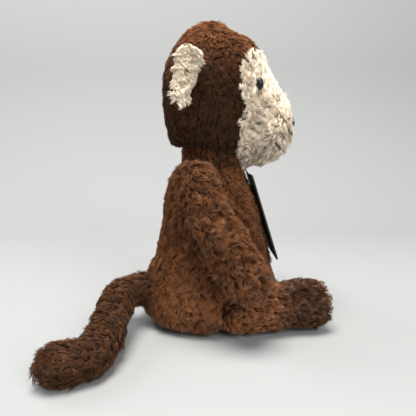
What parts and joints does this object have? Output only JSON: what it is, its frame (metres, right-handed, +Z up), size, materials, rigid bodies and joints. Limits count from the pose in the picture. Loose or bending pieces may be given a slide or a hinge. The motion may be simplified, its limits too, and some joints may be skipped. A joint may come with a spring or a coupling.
{
  "type": "stuffed toy monkey",
  "caption": "Seated soft toy monkey in curly brown pile with cream face, muzzle and ear linings, long floppy arms, sausage legs and a thick curved tail.",
  "frame": {"origin": "on the floor, under the middle of the seat, at the centre of the flat seat base's plane", "axes": "+Z up; the face looks along -Y; the toy's right side is -X and its left side is +X; the tail leaves the back towards +Y and curls to -X"},
  "size_m": [0.2385, 0.2226, 0.264],
  "materials": {
    "brown_pile": "short curly polyester pile, soft sheen",
    "cream_pile": "longer curly polyester pile, matt",
    "filling": "loose polyester fibre",
    "bean_cloth": "plain woven inner bag of pellets",
    "black_plastic": "polished",
    "washer_plastic": "moulded",
    "black_thread": "embroidery thread",
    "loop_thread": "twisted cord",
    "card": "matt uncoated card"
  },
  "bodies": {
    "torso": {"torso_cover": "brown_pile", "torso_stuffing": "filling", "bean_bag": "bean_cloth", "tag_loop": "loop_thread"},
    "neck": {"neck_plug": "brown_pile"},
    "head": {"head_cover": "brown_pile", "head_stuffing": "filling", "face_panel": "cream_pile", "muzzle": "cream_pile", "nose": "black_plastic", "nose_washer": "washer_plastic", "mouth_stitch": "black_thread", "eye_right": "black_plastic", "eye_left": "black_plastic", "eye_washer_right": "washer_plastic", "eye_washer_left": "washer_plastic"},
    "ear_right": {"ear_back_right": "brown_pile", "ear_front_right": "cream_pile"},
    "ear_left": {"ear_back_left": "brown_pile", "ear_front_left": "cream_pile"},
    "arm_right": {"arm_cover_right": "brown_pile", "arm_stuffing_right": "filling"},
    "arm_left": {"arm_cover_left": "brown_pile", "arm_stuffing_left": "filling"},
    "leg_right": {"leg_cover_right": "brown_pile", "leg_stuffing_right": "filling", "sole_right": "cream_pile"},
    "leg_left": {"leg_cover_left": "brown_pile", "leg_stuffing_left": "filling", "sole_left": "cream_pile"},
    "tail_1": {"tail_root_piece": "brown_pile"},
    "tail_2": {"tail_second": "brown_pile"},
    "tail_3": {"tail_third": "brown_pile"},
    "tail_4": {"tail_end": "brown_pile"},
    "card": {"swing_tag": "card"}
  },
  "joints": [
    {"name": "head_turn", "type": "hinge", "parent": "torso", "child": "neck", "pos_m": [0, 0.001, 0.15], "axis": [0, 0, 1], "range_deg": [-38, 38], "stiffness_Nm_per_rad": 0.6},
    {"name": "head_nod", "type": "hinge", "parent": "neck", "child": "head", "pos_m": [0, 0.001, 0.15], "axis": [1, 0, 0], "range_deg": [-15, 4], "stiffness_Nm_per_rad": 0.8},
    {"name": "ear_right_fold", "type": "hinge", "parent": "head", "child": "ear_right", "pos_m": [-0.0495, 0.007, 0.21], "axis": [0, 0, 1], "range_deg": [0, 50], "stiffness_Nm_per_rad": 0.02},
    {"name": "ear_left_fold", "type": "hinge", "parent": "head", "child": "ear_left", "pos_m": [0.0495, 0.007, 0.21], "axis": [0, 0, -1], "range_deg": [0, 50], "stiffness_Nm_per_rad": 0.02},
    {"name": "arm_right_swing", "type": "hinge", "parent": "torso", "child": "arm_right", "pos_m": [-0.047, 0.016, 0.139], "axis": [-1, 0, 0], "range_deg": [0, 55]},
    {"name": "arm_left_swing", "type": "hinge", "parent": "torso", "child": "arm_left", "pos_m": [0.047, 0.016, 0.139], "axis": [-1, 0, 0], "range_deg": [0, 55]},
    {"name": "leg_right_swing", "type": "hinge", "parent": "torso", "child": "leg_right", "pos_m": [-0.038, -0.02, 0.022], "axis": [0.9816, 0.1908, 0], "range_deg": [0, 70]},
    {"name": "leg_left_swing", "type": "hinge", "parent": "torso", "child": "leg_left", "pos_m": [0.04, 0.005, 0.022], "axis": [0.7071, 0.7071, 0], "range_deg": [0, 70]},
    {"name": "tail_wag", "type": "hinge", "parent": "torso", "child": "tail_1", "pos_m": [-0.019, 0.057, 0.031], "axis": [0, 0, 1], "range_deg": [-20, 20]},
    {"name": "tail_bend_1", "type": "hinge", "parent": "tail_1", "child": "tail_2", "pos_m": [-0.0376, 0.07981, 0.02888], "axis": [0, 0, 1], "range_deg": [-20, 20]},
    {"name": "tail_bend_2", "type": "hinge", "parent": "tail_2", "child": "tail_3", "pos_m": [-0.06713, 0.08181, 0.02215], "axis": [0, 0, 1], "range_deg": [-20, 20]},
    {"name": "tail_bend_3", "type": "hinge", "parent": "tail_3", "child": "tail_4", "pos_m": [-0.09568, 0.0833, 0.01583], "axis": [0, 0, 1], "range_deg": [-20, 20]},
    {"name": "tag_swing", "type": "hinge", "parent": "torso", "child": "card", "pos_m": [0, -0.0314, 0.134], "axis": [-1, 0, 0], "range_deg": [0, 55]}
  ]
}
